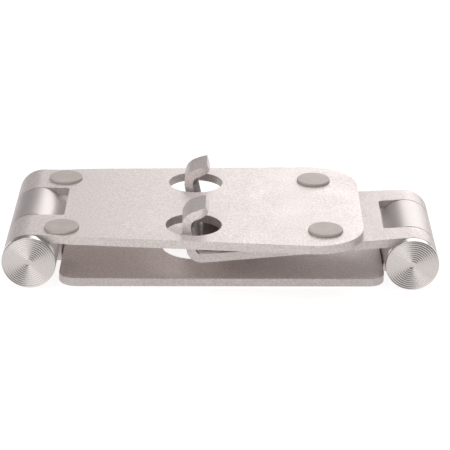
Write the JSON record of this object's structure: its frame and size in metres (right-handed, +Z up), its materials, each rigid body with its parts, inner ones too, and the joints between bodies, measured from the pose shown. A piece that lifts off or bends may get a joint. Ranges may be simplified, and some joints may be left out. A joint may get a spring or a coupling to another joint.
{
  "type": "foldable phone stand",
  "caption": "Flat-folding phone stand of aluminium plates on barrel hinges: padded base plate with round holes, tapered arm, cradle plate with bent hooks.",
  "frame": {"origin": "bottom centre of the folded stand's bounding box, on the arm plate's underside", "axes": "+X from the base hinge to the cradle hinge, +Y towards the rear, along both hinge axes, +Z up through the folded stack"},
  "size_m": [0.1216, 0.0596, 0.023],
  "materials": {
    "blasted_aluminium": "bead-blasted, warm silver anodised",
    "turned_aluminium": "fine-turned, silver anodised",
    "spun_aluminium": "concentric spun face, polished rim",
    "clear_silicone": "translucent matt silicone",
    "dark_silicone": "matt silicone",
    "steel": "plain machined",
    "bronze": "sintered, oiled",
    "acetal": "matt"
  },
  "bodies": {
    "arm": {"arm_plate": "blasted_aluminium", "left_knuckle": "turned_aluminium", "right_knuckle": "turned_aluminium", "left_bush": "bronze", "right_bush": "bronze", "left_screw_front": "steel", "left_screw_rear": "steel", "right_screw_front": "steel", "right_screw_rear": "steel"},
    "base": {"base_plate": "blasted_aluminium", "foot_pad_front_left": "clear_silicone", "foot_pad_rear_left": "clear_silicone", "foot_pad_front_right": "clear_silicone", "foot_pad_rear_right": "clear_silicone", "left_cap": "spun_aluminium", "left_shaft": "steel", "left_washer_front": "acetal", "left_washer_rear": "acetal", "left_disc_spring_inner": "steel", "left_disc_spring_outer": "steel", "left_lock_nut": "steel", "left_rear_plug": "blasted_aluminium"},
    "cradle": {"cradle_plate": "blasted_aluminium", "cradle_pad": "dark_silicone", "front_hook_lining": "dark_silicone", "rear_hook_lining": "dark_silicone", "right_cap": "spun_aluminium", "right_shaft": "steel", "right_washer_front": "acetal", "right_washer_rear": "acetal", "right_disc_spring_inner": "steel", "right_disc_spring_outer": "steel", "right_lock_nut": "steel", "right_rear_plug": "blasted_aluminium"}
  },
  "joints": [
    {"name": "base_hinge", "type": "hinge", "parent": "arm", "child": "base", "pos_m": [-0.05335, 0, 0.0075], "axis": [0, -1, 0], "range_deg": [0, 180]},
    {"name": "cradle_hinge", "type": "hinge", "parent": "arm", "child": "cradle", "pos_m": [0.05335, 0, 0.0075], "axis": [0, 1, 0], "range_deg": [0, 120]}
  ],
  "couplings": [
    {"joint": "cradle_hinge", "follows": "base_hinge", "ratio": 0.14}
  ]
}
